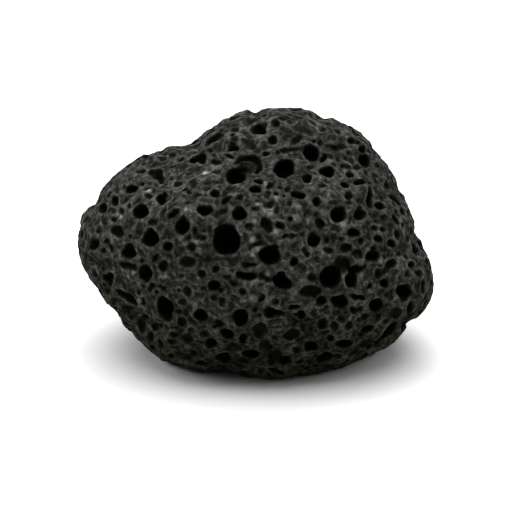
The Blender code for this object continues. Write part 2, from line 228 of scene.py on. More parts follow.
# Holes whose mean width is less than this are shallower still.
FULL_SIZE = 1.7
# The CAD solid's bubbles count from this far inside its filled skin, and from this half width, which
# comes out of the grid a little too small. Their depth is a share of it.
CAD_HOLE_START = 0.4
CAD_HOLE_LEAST = 1.0
CAD_HOLE_LOSS = 0.15
CAD_HOLE_DEPTH = 1.2
# They count only where the skin faces the camera less than this, so that none bites the outline.
CAD_HOLE_FACING = -0.05
# How widely the skin's slope is felt under a hole.
FEEL = 1.5
# The least that the skin faces the eye, for working out how long a slanted hole really is.
GRAZING = 0.5

# The grids of distances: spacing, and the empty room around the rock.
STEP = 0.3
COARSE_STEP = 0.6
MARGIN = 8.4
ROOM = 2.4
# The CAD solid is filled wherever a ball of this radius can't enter, which takes in its bubbles.
FILL = 5.0
# How far the CAD solid's facets are blurred away.
WEAR = 1.0
# The skin's unevenness: size of the bumps and their height.
BUMPS = ((7.0, 0.10), (3.0, 0.12), (1.3, 0.08))
# Random bumps: steps of their grid in a bump's size, and the blur of its random values.
NOISE_STEPS = 3.0
NOISE_BLUR = 1.2
# How many spreads a blur reaches.
BLUR_REACH = 2.5
# How far, and over what distance, the holes are pushed out of true.
WARP = 0.15
WARP_SIZE = 1.7
# The rounding of a hole's edge, and the raised lip around it.
ROUNDING = 0.75
LIP = 0.22
LIP_WIDTH = 0.5
# How far outside a hole its lip and its worn rim are worked out.
EDGE_REACH = 1.2
# The froth of half-open cells between the holes: a cell's size, and how far it sinks below the ridges
# around it. It fades out over FROTH_FADE towards a hole's edge. FROTH_MEAN is its mean before scaling.
FROTH = (("wide_froth", 2.6, 0.22), ("fine_froth", 1.3, 0.12))
FROTH_FADE = 0.9
FROTH_MEAN = 0.8

# Rounded lumps on the skin: radius, how far they stand out, the gap kept between them, how many are
# tried, and how softly they join the skin.
LUMP_RADIUS = (4.0, 8.0)
LUMP_HEIGHT = (0.25, 0.55)
LUMP_GAP = 4.6
LUMP_TRIES = 1500
LUMP_BLEND = 0.35
# The height over which the lumps grow to their full size.
LUMP_FADE = 5.0
# What the skin is pared back by first, so that the lumps don't make the rock larger.
SHRINK = 0.2
# How far the skin draws in where it meets the floor, and the height up to which it does. It draws in
# from sides that would go straight down below FOOT_LEVEL.
UNDERCUT = 2.2
UNDERCUT_HEIGHT = 4.0
FOOT_LEVEL = 2.4
# The flat base: its height before it is made uneven, and the rounding of its edge.
BASE_LEVEL = 0.1
BASE_ROUNDING = 1.4

# The rock's outline in the picture, clockwise from its left end, as x and y in a picture PICTURE
# points wide and high, with a point in each notch between lumps and a few on each lump.
PICTURE = 512
PIXEL = FRAME_WIDTH / PICTURE
OUTLINE = (
    (78.3, 250), (78.0, 244), (78.5, 237), (79.5, 230), (81, 220), (83, 214), (87, 210), (91, 206.5),
    (96, 203), (98.8, 200.4), (98.2, 197), (101, 192), (104, 187), (108, 182), (113, 176.5),
    (120, 170.5), (125, 167), (130, 164.5), (136, 159.5), (141, 156), (148, 153.5), (154, 151.8),
    (160, 151.2), (163, 149.3), (168, 146.8), (174, 145.5), (179, 145.8), (182.3, 147.3), (185, 146),
    (189, 143.5), (193, 142), (196, 141.2), (197, 138), (201, 134.5), (205, 132.3), (209.5, 130.6),
    (213, 127), (218, 123), (222, 120), (227, 118), (232.8, 117.4), (235, 114), (238, 112),
    (242, 110.7), (247, 110.2), (251, 110.8), (255, 112), (258.5, 112.6), (261, 110.5), (265, 109),
    (272, 108.3), (280, 108), (290, 108), (300, 108.3), (306, 109.5), (311, 111.5), (316, 114),
    (320, 117.3), (322, 119.2), (325, 118.3), (329, 117.8), (334, 118.5), (340, 121.5), (347, 125),
    (353, 128), (359, 131.5), (365, 137), (369, 141.5), (372, 147), (374, 149.7), (378, 153),
    (383, 159.5), (388, 167), (393, 174.5), (396, 181), (397.6, 187), (400, 191), (404, 197),
    (408, 204), (411.5, 212), (414, 220), (415, 227), (413.8, 233), (418, 237), (421.5, 242),
    (424.5, 250), (428.5, 258), (431, 266), (432.8, 275), (433.5, 284), (432.5, 293), (430.5, 300),
    (426.5, 307), (421.5, 313), (414, 320), (405.5, 325), (405.5, 331), (400.5, 337), (391.5, 343.5),
    (379, 351), (366, 357), (353, 362.5), (340, 368), (320, 373.5), (300, 376.5), (285, 378),
    (262, 378.3), (247, 377), (240, 374.5), (232, 372.5), (215, 371.5), (195, 369.8), (180, 367.5),
    (172, 364.5), (160, 358.5), (151, 352), (146, 347.5), (140, 340.5), (132, 333), (126, 327),
    (121, 322), (119.3, 316), (117, 311.5), (110, 306), (104, 300), (98.5, 290), (90.5, 280),
    (84.5, 270), (80, 260),
)
# The widest gap left between two points of the outline, in the picture's units.
OUTLINE_GAP = 7.0
# How widely one point's correction spreads over the picture and in depth, how many of the depth's
# spreads it reaches, the least sum of shares that counts in full, and how often it is all repeated.
OUTLINE_SPREAD = 1.0
OUTLINE_DEPTH = 7.0
OUTLINE_REACH = 1.8
OUTLINE_SUM = 0.8
OUTLINE_PASSES = 2

# Random holes in groups: whether in front, the height they keep under, how deep they are, as DEEP is,
# and the diameters with how many are tried, from the largest down.
RANDOM_HOLES = (
    (False, 60.0, (0.8, 1.5), ((3.0, 40), (2.4, 130), (1.8, 330), (1.3, 800), (0.9, 1800))),
    (True, 17.0, (0.15, 0.35), ((2.8, 170), (2.0, 280))),
    (True, 60.0, (0.3, 0.8), ((1.1, 120), (0.8, 120))),
)
# The band above the floor that random holes keep out of, so that the foot's edge stays whole.
FOOT = (0.4, 4.5)
# The width of its lowest strip, which holes in the base keep away from.
FOOT_RIM = 0.5
# How far a random hole keeps from any other, middle to middle, as a share of their radii added.
HOLE_GAP = 1.18
# How much random holes stray from their diameter, and how far they are stretched.
RANDOM_SPREAD = (0.85, 1.15)
RANDOM_STRETCH = (1.0, 1.35)
# Plain patches in front that no random hole falls in: across, up, radius.
PLAIN_PATCHES = ((-10.5, 15.5, 3.5), (7.5, 25.8, 3.5))
# The camera sees the skin well where it faces it more than this, and the listed holes and specks
# tell what is there.
FRONT_FACING = 0.15

# What the mesh is lightened to, as the part may have 200,000.
TRIANGLES = 196000
# The greatest depth under the skin that is told apart. The blur, in grid steps, of the distances:
# they end up above 0 where the surface stands out, and below 0 where it lies low.
HOLLOW_MOST = 4
RIDGE_BLUR = 2.0

# Colours: of the stone high up; of the stone near the floor, darker with painted shade and more olive;
# of the depth of a hole, painted shade; of a light speck.
STONE = (0.0170, 0.0168, 0.0150, 1.0)
SHADED_LOW_STONE = (0.0122, 0.0117, 0.0080, 1.0)
PAINTED_HOLE_SHADE = (0.0021, 0.0019, 0.0010, 1.0)
SPECK = (0.34, 0.335, 0.31, 1.0)
# Between which heights the stone's colour changes to the painted shade near the floor, and between
# which depths a hole's painted shade deepens.
STONE_HEIGHT = (6.0, 32.0)
HOLLOW_DEPTH = (0.05, 0.85)
# The sizes of the material's random patches, and how much finer detail they hold.
FINE_DETAIL = 3.0
BLOB_DETAIL = 1.0
GRAIN = 0.5
BLOBS = 1.1
PATCHES = 2.4
CLOUDS = 6.0
# Smooth changes, each from one value to another and from one strength to another. First the web of
# light ridges: the froth's ridges, how they start outside a hole, the ring round a hole and how far
# outside its edge that lies, and how all of these fade towards the floor.
WIDE_RIDGE = (0.0, 0.55, 1.0, 0.0)
FINE_RIDGE = (0.0, 0.6, 0.8, 0.0)
RIDGE_START = (0.2, 0.8, 0.0, 1.0)
RING = (0.0, 0.5, 1.0, 0.0)
RING_PLACE = 0.6
WEB_BY_HEIGHT = (5.0, 20.0, 0.65, 1.0)
# Then how light each of these makes the stone.
LIGHT_BY_WEB = (0.0, 1.0, 0.62, 1.6)
LIGHT_BY_BLOBS = (0.38, 0.64, 0.6, 1.4)
LIGHT_BY_PATCHES = (0.35, 0.65, 0.65, 1.35)
LIGHT_BY_CLOUDS = (0.3, 0.7, 0.75, 1.25)
LIGHT_BY_GRAIN = (0.3, 0.7, 0.68, 1.36)
# Painted shade where the surface lies low, and lighter wear where it stands out.
SHADE_AND_WEAR_BY_RIDGE = (-0.10, 0.12, 0.7, 1.3)
# Painted shade at the mouths of the holes.
PAINTED_SHADE_BY_EDGE = (-0.15, 0.45, 0.35, 1.0)
# Painted bounce light from the floor, lighter at the foot.
PAINTED_BOUNCE_BY_HEIGHT = (1.0, 9.0, 1.4, 1.0)
# Then how strong a speck is by the grain, and how it goes out in a hole.
SPECK_BY_GRAIN = (0.35, 0.6, 0.6, 1.0)
SPECK_BY_HOLLOW = (0.1, 0.4, 1.0, 0.0)
# How far the blobs and the grain stand out, and how rough and how shiny the stone is.
BLOBS_RISE = 0.3
GRAIN_RISE = 0.14
ROUGHNESS = 0.9
STONE_SPECULAR = 0.02

# The floor's colour and half its width, the world's colour, and its strength on all but the camera.
FLOOR = (0.7, 0.7, 0.7, 1.0)
FLOOR_REACH = 700.0
WHITE = (1.0, 1.0, 1.0, 1.0)
WORLD = 0.08
# Round lights aimed at the rock: name, place, width, power.
LIGHTS = (
    ("overhead", (0.0, 400.0, 1450.0), 2400.0, 71.0),
    ("left", (-1300.0, -100.0, 900.0), 1000.0, 13.5),
    ("right", (1300.0, -100.0, 900.0), 1000.0, 9.0),
)

# Numbers that keep a place just inside the last cell of a grid, keep a division from failing, and
# stand for a place farther off than anything in the scene.
LAST_CELL = 1.001
TINY = 1e-6
FAR_OFF = 1e6


def unit(vectors):
    return vectors / np.linalg.norm(vectors, axis=-1, keepdims=True)


class Field:
    """Distances on an even grid, negative inside the rock."""

    def __init__(self, low, step, values):
        self.low = low
        self.step = step
        self.values = values

    def at(self, points):
        places = (points - self.low) / self.step
        places = np.clip(places, 0.0, np.array(self.values.shape) - LAST_CELL)
        corners = places.astype(int)
        parts = places - corners
        total = np.zeros(len(points))
        for corner in np.ndindex(2, 2, 2):
            weights = np.prod(np.where(corner, parts, 1.0 - parts), axis=1)
            total += weights * self.values[tuple((corners + corner).T)]
        return total

    def slope(self, points, reach):
        """The way the surface faces, felt over reach."""
        steps = np.eye(3) * reach
        rises = [self.at(points + step) - self.at(points - step) for step in steps]
        return unit(np.stack(rises, -1))


def blurred(values, spread):
    """A Gaussian blur, its spread counted in grid steps."""
    reach = math.ceil(BLUR_REACH * spread)
    weights = np.exp(-0.5 * (np.arange(-reach, reach + 1) / spread) ** 2)
    weights = (weights / weights.sum()).astype(np.float32)
    for axis in range(3):
        values = np.moveaxis(values, axis, 0)
        padded = np.concatenate([values[:1]] * reach + [values] + [values[-1:]] * reach)
        values = sum(w * padded[i:i + len(values)] for i, w in enumerate(weights))
        values = np.moveaxis(values, 0, axis)
    return np.ascontiguousarray(values)


def resampled(field, low, step, shape):
    """The field's values on another grid, read in straight lines between its own."""
    values = field.values
    for axis in range(3):
        places = (low[axis] + step * np.arange(shape[axis]) - field.low[axis]) / field.step
        places = np.clip(places, 0.0, values.shape[axis] - LAST_CELL)
        corners = places.astype(int)
        parts = (places - corners).astype(np.float32)
        parts = parts.reshape([-1 if a == axis else 1 for a in range(3)])
        before = np.take(values, corners, axis=axis)
        after = np.take(values, corners + 1, axis=axis)
        values = before + parts * (after - before)
    return values


def noise(low, step, shape, size, rng):
    """Soft random bumps of the given size, about 1 high, on the given grid."""
    spacing = size / NOISE_STEPS
    counts = np.ceil(np.array(shape) * step / spacing).astype(int) + 2
    values = blurred(rng.standard_normal(counts).astype(np.float32), NOISE_BLUR)
    values /= values.std()
    return resampled(Field(low, spacing, values), low, step, shape)


def level_set(points, faces, low, step, shape, reach):
    """Distances to a closed surface, true to within reach of it."""
    grid = openvdb.FloatGrid.createLevelSetFromPolygons(
        points - low,
        transform=openvdb.createLinearTransform(step),
        halfWidth=reach / step,
        **faces,
    )
    values = np.zeros(shape, np.float32)
    grid.copyToArray(values)
    return grid, values


def grid_shape(low, high, step):
    return tuple(int(count) for count in np.ceil((high - low) / step) + 1)


def cad_surface(node):
    mesh = node.data
    mesh.calc_loop_triangles()
    points = np.zeros(len(mesh.vertices) * 3, np.float32)
    mesh.vertices.foreach_get("co", points)
    triangles = np.zeros(len(mesh.loop_triangles) * 3, np.uint32)
    mesh.loop_triangles.foreach_get("vertices", triangles)
    return points.reshape(-1, 3) / MM, triangles.reshape(-1, 3)


def cad_distances(node):
    """Distances to the CAD solid, and to its skin with the bubbles filled and the facets blurred."""
    points, triangles = cad_surface(node)
    low = points.min(0) - MARGIN
    high = points.max(0) + MARGIN
    shape = grid_shape(low, high, COARSE_STEP)
    grid, solid = level_set(points, {"triangles": triangles}, low, COARSE_STEP, shape, MARGIN)
    swollen, _, quads = grid.convertToPolygons(isovalue=FILL)
    _, values = level_set(swollen + low, {"quads": quads}, low, COARSE_STEP, shape, MARGIN)
    skin = Field(low, COARSE_STEP, blurred(values + np.float32(FILL), WEAR / COARSE_STEP))
    return Field(low, COARSE_STEP, solid), skin


def polygons(field):
    """The closed surface on which a field is 0: its points and its four-sided faces."""
    grid = openvdb.FloatGrid()
    grid.transform = openvdb.createLinearTransform(field.step)
    grid.copyFromArray(field.values)
    points, _, quads = grid.convertToPolygons(isovalue=0.0)
    return points + field.low, quads


def part_labels(count, faces):
    """For each point of a surface, a number that all the points joined to it share."""
    labels = np.arange(count)
    starts = faces.ravel()
    ends = np.roll(faces, 1, axis=1).ravel()
    while True:
        lowest = np.minimum(labels[starts], labels[ends])
        updated = labels.copy()
        np.minimum.at(updated, starts, lowest)
        np.minimum.at(updated, ends, lowest)
        updated = updated[updated]
        if (updated == labels).all():
            return labels
        labels = updated


def cad_holes(solid, skin):
    """The CAD solid's bubbles that the camera doesn't see well, as round ellipsoids."""
    missing = solid.values - skin.values
    inside = Field(skin.low, skin.step, np.maximum(-solid.values, CAD_HOLE_START - missing))
    points, quads = polygons(inside)
    labels = part_labels(len(points), quads)
    holes = []
    for label in np.unique(labels):
        part = points[labels == label]
        middle = part.mean(0)
        normal = skin.slope(middle[None], FEEL)[0]
        offsets = part - middle
        beside = offsets - np.outer(offsets @ normal, normal)
        radius = np.linalg.norm(beside, axis=1).max() + CAD_HOLE_LOSS
        opening = middle - normal * skin.at(middle[None])
        turned_away = facing(opening[None], normal[None])[0] < CAD_HOLE_FACING
        if radius > CAD_HOLE_LEAST and turned_away:
            holes.append(round_hole(opening, normal, radius, 1.0, CAD_HOLE_DEPTH, ACROSS + UP))
    return holes


def line_of_sight(across, up):
    """The way from the eye to a place in the facing plane, and how far along it the rock may lie."""
    sight = unit(MIDDLE + across * ACROSS + up * UP - EYE)
    return sight, np.arange(AWAY - SIGHT_REACH, AWAY + SIGHT_REACH, SIGHT_STEP)


def skin_point(skin, across, up):
    """Where a line of sight meets the skin, or comes nearest it, with the way the line goes."""
    sight, travels = line_of_sight(across, up)
    values = skin.at(EYE + travels[:, None] * sight)
    inside = np.flatnonzero(values < 0)
    if not len(inside):
        return sight, EYE + travels[values.argmin()] * sight
    first = inside[0]
    back = values[first] / (values[first] - values[first - 1])
    return sight, EYE + (travels[first] - SIGHT_STEP * back) * sight


def front_hole(skin, across, up, wide, high, roll=0.0, depth=DEEP):
    """An ellipsoid that shows the given outline at the given place: its middle and its half axes."""
    sight, point = skin_point(skin, across, up)
    normal = skin.slope(point[None], FEEL)[0]
    scale = np.linalg.norm(point - EYE) / AWAY / 2
    turn = math.radians(roll)
    axes = (
        (math.cos(turn) * ACROSS + math.sin(turn) * UP) * wide * scale,
        (math.cos(turn) * UP - math.sin(turn) * ACROSS) * high * scale,
    )
    faced = max(-sight @ normal, GRAZING)
    laid = [axis + sight * (axis @ normal) / faced for axis in axes]
    mean = (wide + high) / 2
    inward = normal * depth * scale * mean * min(mean / FULL_SIZE, 1.0)
    return point - SINK * inward, np.array((*laid, inward))


def slit_hole(skin, across_a, up_a, across_b, up_b, width):
    across, up = across_b - across_a, up_b - up_a
    length = math.hypot(across, up) + width
    middle = ((across_a + across_b) / 2, (up_a + up_b) / 2)
    depth = SLIT * 2 * width / (length + width)
    return front_hole(skin, *middle, length, width, math.degrees(math.atan2(up, across)), depth)


def front_holes(skin):
    holes = [front_hole(skin, *hole) for hole in DEEP_HOLES]
    holes.extend(front_hole(skin, *hole, depth=SHALLOW) for hole in SHALLOW_HOLES)
    holes.extend(front_hole(skin, *hole, depth=DENT) for hole in DENTS)
    holes.extend(slit_hole(skin, *slit) for slit in SLITS)
    return holes


def skin_samples(skin, rng):
    """Points spread over the skin in random order, with the ways they face."""
    points = rng.permutation(polygons(skin)[0])
    return points, skin.slope(points, COARSE_STEP)


def facing(points, normals):
    """How much the skin faces the camera: 1 straight at it, 0 edge on, below 0 out of its sight."""
    sight = unit(points - EYE)
    return -(sight * normals).sum(1)


def in_plain_patch(points):
    offsets = points - MIDDLE
    across = offsets @ ACROSS
    up = offsets @ UP
    found = np.zeros(len(points), bool)
    for patch_across, patch_up, radius in PLAIN_PATCHES:
        found |= np.hypot(across - patch_across, up - patch_up) < radius
    return found


def round_hole(point, normal, radius, stretch, depth, direction):
    """An ellipsoid with a round mouth, or one that is stretched across a direction."""
    aside = unit(np.cross(normal, direction))
    other = np.cross(normal, aside)
    inward = normal * radius * depth
    axes = np.array((aside * radius * stretch, other * radius / stretch, inward))
    return point - SINK * inward, axes


def random_hole(point, normal, diameter, depths, rng):
    direction = rng.standard_normal(3)
    stretch = rng.uniform(*RANDOM_STRETCH)
    radius = diameter / 2 * rng.uniform(*RANDOM_SPREAD)
    return round_hole(point, normal, radius, stretch, rng.uniform(*depths), direction)


def random_holes(skin, holes, rng):
    points, normals = skin_samples(skin, rng)
    heights = points[:, 2]
    front = facing(points, normals) > FRONT_FACING
    plain = in_plain_patch(points)
    rim = points[(heights > FOOT[0]) & (heights < FOOT[0] + FOOT_RIM)]
    middles = [middle for middle, _ in holes] + list(rim)
    radii = [np.linalg.norm(axes[:2], axis=1).max() for _, axes in holes]
    radii += [FOOT_RIM] * len(rim)
    added = []
    for in_front, ceiling, depths, sizes in RANDOM_HOLES:
        for diameter, tries in sizes:
            on_foot = (heights > FOOT[0]) & (heights < FOOT[1] + diameter / 2)
            fits = (front == in_front) & ~(plain & in_front) & ~on_foot & (heights < ceiling)
            for index in rng.permutation(np.flatnonzero(fits))[:tries]:
                gaps = np.linalg.norm(np.array(middles) - points[index], axis=1)
                if (gaps < HOLE_GAP * (np.array(radii) + diameter / 2)).any():
                    continue
                hole = random_hole(points[index], normals[index], diameter, depths, rng)
                added.append(hole)
                middles.append(hole[0])
                radii.append(diameter / 2)
    return added


def box_around(low, step, shape, middle, reach):
    """The part of a grid within reach of a point, and its places as seen from that point."""
    first = np.maximum(np.floor((middle - reach - low) / step).astype(int), 0)
    last = np.minimum(np.ceil((middle + reach - low) / step).astype(int) + 1, shape)
    box = tuple(slice(a, b) for a, b in zip(first, last))
    offsets = [
        (low[axis] + step * np.arange(first[axis], last[axis]) - middle[axis]).astype(np.float32)
        for axis in range(3)
    ]
    return box, np.stack(np.meshgrid(*offsets, indexing="ij"), -1)


def add_lumps(values, low, skin, rng):
    """Joins rounded lumps, spread evenly but not regularly, to the skin's distances."""
    points, normals = skin_samples(skin, rng)
    placed = np.full((1, 3), FAR_OFF)
    for point, normal in zip(points[:LUMP_TRIES], normals[:LUMP_TRIES]):
        radius = rng.uniform(*LUMP_RADIUS)
        height = rng.uniform(*LUMP_HEIGHT)
        if (np.linalg.norm(placed - point, axis=1) < LUMP_GAP).any():
            continue
        placed = np.vstack((placed, point))
        middle = point + normal * (height - radius)
        box, places = box_around(low, STEP, values.shape, middle, radius + LUMP_BLEND * 2)
        lump = np.sqrt((places * places).sum(-1)) - radius
        values[box] = -smooth_max(-values[box], -lump, LUMP_BLEND)


def carve(edges, warps, low, middle, axes):
    """Lowers edges, the distances to the nearest hole, to those of one ellipsoid."""
    reach = np.abs(axes).sum(0) + EDGE_REACH + WARP * 2
    box, places = box_around(low, STEP, edges.shape, middle, reach)
    inverse = np.linalg.inv(axes).astype(np.float32)
    places += np.stack([warp[box] for warp in warps], -1)
    local = places @ inverse
    length = np.sqrt((local * local).sum(-1)) + TINY
    slope = local @ inverse.T
    slope = np.sqrt((slope * slope).sum(-1)) + TINY
    edges[box] = np.minimum(edges[box], (length - 1) * length / slope)


def picture_place(x, y):
    """Across and up, from MIDDLE, of a place in the picture."""
    offset = FRAME_CENTRE - MIDDLE
    across = (x - PICTURE / 2) * PIXEL + offset @ ACROSS
    up = (PICTURE / 2 - y) * PIXEL + offset @ UP
    return across, up


def nearest_on_sight(skin, across, up):
    """Where a line of sight passes nearest the skin or deepest under it, and that distance."""
    sight, travels = line_of_sight(across, up)
    points = EYE + travels[:, None] * sight
    values = skin.at(points)
    nearest = values.argmin()
    return points[nearest], values[nearest]


def outline_places():
    """The listed outline, with points added evenly where two listed ones lie far apart."""
    corners = np.array(OUTLINE)
    places = []
    for start, end in zip(corners, np.roll(corners, -1, axis=0)):
        count = math.ceil(np.linalg.norm(end - start) / OUTLINE_GAP)
        places.extend(start + (end - start) * step / count for step in range(count))
    return places


def fit_outline(skin):
    """Swells or pares the skin near its outline once, moving it towards the outline's points."""
    reach = np.full(3, OUTLINE_DEPTH * OUTLINE_REACH)
    total = np.zeros(skin.values.shape, np.float32)
    weight = np.zeros(skin.values.shape, np.float32)
    for x, y in outline_places():
        place, distance = nearest_on_sight(skin, *picture_place(x, y))
        box, offsets = box_around(skin.low, skin.step, skin.values.shape, place, reach)
        depth = offsets @ TOWARD.astype(np.float32)
        beside = (offsets * offsets).sum(-1) - depth * depth
        share = np.exp(-0.5 * (beside / OUTLINE_SPREAD ** 2 + (depth / OUTLINE_DEPTH) ** 2))
        total[box] += share * distance
        weight[box] += share
    skin.values -= total / np.maximum(weight, OUTLINE_SUM)


def smooth_max(a, b, width):
    overlap = np.maximum(width - np.abs(a - b), 0) / width
    return np.maximum(a, b) + overlap * overlap * width / 4


def footed(values, heights):
    """The skin's distances with its sides drawn in above a flat base."""
    level = np.searchsorted(heights, FOOT_LEVEL)
    values[:, :, :level] = values[:, :, level:level + 1]
    values += np.float32(UNDERCUT) * np.clip(1 - heights / np.float32(UNDERCUT_HEIGHT), 0, 1) ** 2
    return smooth_max(values, np.float32(BASE_LEVEL) - heights, np.float32(BASE_ROUNDING))


def uneven_skin(smooth, rng):
    """The skin on the fine grid, with its lumps and bumps, and its outline as listed."""
    low = smooth.low + MARGIN - ROOM
    high = smooth.low + (np.array(smooth.values.shape) - 1) * COARSE_STEP - MARGIN + ROOM
    shape = grid_shape(low, high, STEP)
    values = resampled(smooth, low, STEP, shape) + np.float32(SHRINK)
    heights = (low[2] + STEP * np.arange(shape[2])).astype(np.float32)
    values = footed(values, heights)
    plain = values.copy()
    add_lumps(values, low, smooth, rng)
    share = np.clip(heights / np.float32(LUMP_FADE), 0, 1)
    values = plain + share * (values - plain)
    for size, height in BUMPS:
        values += np.float32(height) * noise(low, STEP, shape, size, rng)
    skin = Field(low, STEP, values)
    for _ in range(OUTLINE_PASSES):
        fit_outline(skin)
    return skin


def carved_rock(node):
    """The rock's distances, and the fields that its colours are worked out from."""
    rng = np.random.default_rng(HOLE_SEED)
    solid, smooth = cad_distances(node)
    skin = uneven_skin(smooth, rng)
    low = skin.low
    shape = skin.values.shape
    holes = front_holes(skin) + cad_holes(solid, smooth)
    holes += random_holes(smooth, holes, rng)
    warps = [np.float32(WARP) * noise(low, STEP, shape, WARP_SIZE, rng) for _ in range(3)]
    edges = np.full(shape, EDGE_REACH, np.float32)
    for middle, axes in holes:
        carve(edges, warps, low, middle, axes)
    fields = {"skin": skin, "edge": Field(low, STEP, edges)}
    outer = skin.values - LIP * np.exp(-((edges / LIP_WIDTH) ** 2))
    fade = np.clip(edges / FROTH_FADE, 0, 1)
    for name, size, depth in FROTH:
        froth = noise(low, STEP, shape, size, rng)
        outer += depth * fade * (np.abs(froth) - FROTH_MEAN)
        fields[name] = Field(low, STEP, froth)
    rock = smooth_max(outer, -edges, ROUNDING)
    heights = low[2] + STEP * np.arange(shape[2])
    rock = np.maximum(rock, -heights.astype(np.float32))
    fields["rock"] = Field(low, STEP, rock)
    return fields


def surface_of(rock):
    """The rock's surface, without any loose crumb."""
    points, quads = polygons(rock)
    labels = part_labels(len(points), quads)
    kept = labels == np.bincount(labels).argmax()
    numbers = np.cumsum(kept) - 1
    return points[kept], numbers[quads[kept[quads[:, 0]]]]


def mesh_of(name, points, faces):
    mesh = bpy.data.meshes.new(name)
    mesh.from_pydata((points * MM).tolist(), [], faces.tolist())
    mesh.validate()
    return mesh


def lightened(mesh):
    """The mesh again, lightened to about TRIANGLES triangles. The mesh again, with only
    as many triangles as the part may have.
    """
    whole = bpy.data.objects.new("whole", mesh)
    bpy.context.scene.collection.objects.link(whole)
    fewer = whole.modifiers.new("fewer", "DECIMATE")
    fewer.ratio = TRIANGLES / (2 * len(mesh.polygons))
    fewer.use_collapse_triangulate = True
    evaluated = whole.evaluated_get(bpy.context.evaluated_depsgraph_get())
    light = bpy.data.meshes.new_from_object(evaluated)
    bpy.data.objects.remove(whole)
    bpy.data.meshes.remove(mesh)
    return light


def vertex_points(mesh):
    points = np.zeros(len(mesh.vertices) * 3, np.float32)
    mesh.vertices.foreach_get("co", points)
    return points.reshape(-1, 3) / MM


def add_attribute(mesh, name, values):
    attribute = mesh.attributes.new(name, "FLOAT", "POINT")
    attribute.data.foreach_set("value", values.astype(np.float32))


def speck_strengths(points, rock, rng):
    """How much each point is part of a light speck."""
    strengths = np.zeros(len(points))
    places = [(skin_point(rock, across, up)[1], size, light) for across, up, size, light in SPECKS]
    unseen = points[facing(points, rock.slope(points, FEEL)) < FRONT_FACING]
    for point in rng.choice(unseen, RANDOM_SPECKS, replace=False):
        places.append((point, rng.uniform(*RANDOM_SPECK_SIZES), rng.uniform(*RANDOM_SPECK_LIGHTS)))
    for place, size, light in places:
        gaps = np.linalg.norm(points - place, axis=1)
        strengths = np.maximum(strengths, light * np.exp(-((gaps / (SPECK_FADE * size)) ** 2)))
    return strengths


class Shader:
    """Short ways to add and join a material's nodes."""

    def __init__(self, material):
        material.use_nodes = True
        self.nodes = material.node_tree.nodes
        self.links = material.node_tree.links
        self.surface = self.nodes["Principled BSDF"]

    def set(self, socket, value):
        if isinstance(value, bpy.types.NodeSocket):
            self.links.new(value, socket)
        else:
            socket.default_value = value

    def math(self, operation, *values):
        node = self.nodes.new("ShaderNodeMath")
        node.operation = operation
        for socket, value in zip(node.inputs, values):
            self.set(socket, value)
        return node.outputs[0]

    def product(self, first, *others):
        for other in others:
            first = self.math("MULTIPLY", first, other)
        return first

    def attribute(self, name):
        node = self.nodes.new("ShaderNodeAttribute")
        node.attribute_name = name
        return node.outputs["Fac"]

    def places(self):
        return self.nodes.new("ShaderNodeTexCoord").outputs["Object"]

    def noise(self, size, detail=FINE_DETAIL):
        node = self.nodes.new("ShaderNodeTexNoise")
        self.set(node.inputs["Vector"], self.places())
        node.inputs["Scale"].default_value = 1 / (size * MM)
        node.inputs["Detail"].default_value = detail
        return node.outputs["Fac"]

    def height(self):
        """Height over the floor, in millimetres."""
        node = self.nodes.new("ShaderNodeSeparateXYZ")
        self.set(node.inputs[0], self.places())
        return self.math("MULTIPLY", node.outputs["Z"], 1 / MM)

    def ramp(self, value, low, high, start=0.0, end=1.0):
        """A smooth change from start to end as value goes from low to high."""
        node = self.nodes.new("ShaderNodeMapRange")
        node.interpolation_type = "SMOOTHSTEP"
        for name, number in zip(("From Min", "From Max", "To Min", "To Max"), (low, high, start, end)):
            node.inputs[name].default_value = number
        self.set(node.inputs["Value"], value)
        return node.outputs["Result"]

    def tint(self, share, first, second):
        node = self.nodes.new("ShaderNodeMix")
        node.data_type = "RGBA"
        self.set(node.inputs["Factor"], share)
        self.set(node.inputs["A"], first)
        self.set(node.inputs["B"], second)
        return node.outputs["Result"]

    def shaded(self, colour, strength):
        """A colour multiplied by a number."""
        node = self.nodes.new("ShaderNodeVectorMath")
        node.operation = "SCALE"
        self.set(node.inputs[0], colour)
        self.set(node.inputs["Scale"], strength)
        return node.outputs[0]


def ridge_web(shader, edge, height):
    """How much a place is part of the web of light ridges round the holes and between the cells."""
    wide = shader.ramp(shader.math("ABSOLUTE", shader.attribute("wide_froth")), *WIDE_RIDGE)
    fine = shader.ramp(shader.math("ABSOLUTE", shader.attribute("fine_froth")), *FINE_RIDGE)
    froth = shader.product(shader.math("MAXIMUM", wide, fine), shader.ramp(edge, *RIDGE_START))
    off_ring = shader.math("ABSOLUTE", shader.math("SUBTRACT", edge, RING_PLACE))
    web = shader.math("MAXIMUM", froth, shader.ramp(off_ring, *RING))
    return shader.product(web, shader.ramp(height, *WEB_BY_HEIGHT))


def stone_tone_and_painted_light(shader, edge, height, grain, blobs):
    """How light the stone is at a place, around 1: its own tone and worn ridges, with painted shade
    at the holes' mouths and in low places, and painted bounce light at the foot.
    """
    return shader.product(
        shader.ramp(ridge_web(shader, edge, height), *LIGHT_BY_WEB),
        shader.ramp(blobs, *LIGHT_BY_BLOBS),
        shader.ramp(shader.noise(PATCHES), *LIGHT_BY_PATCHES),
        shader.ramp(shader.noise(CLOUDS), *LIGHT_BY_CLOUDS),
        shader.ramp(grain, *LIGHT_BY_GRAIN),
        shader.ramp(shader.attribute("ridge"), *SHADE_AND_WEAR_BY_RIDGE),
        shader.ramp(edge, *PAINTED_SHADE_BY_EDGE),
        shader.ramp(height, *PAINTED_BOUNCE_BY_HEIGHT),
    )


def stone_bump(shader, grain, blobs):
    rise = shader.math("MULTIPLY", blobs, BLOBS_RISE)
    rise = shader.math("ADD", rise, shader.math("MULTIPLY", grain, GRAIN_RISE))
    bump = shader.nodes.new("ShaderNodeBump")
    bump.inputs["Distance"].default_value = MM
    bump.inputs["Strength"].default_value = 1.0
    shader.set(bump.inputs["Height"], rise)
    return bump.outputs["Normal"]


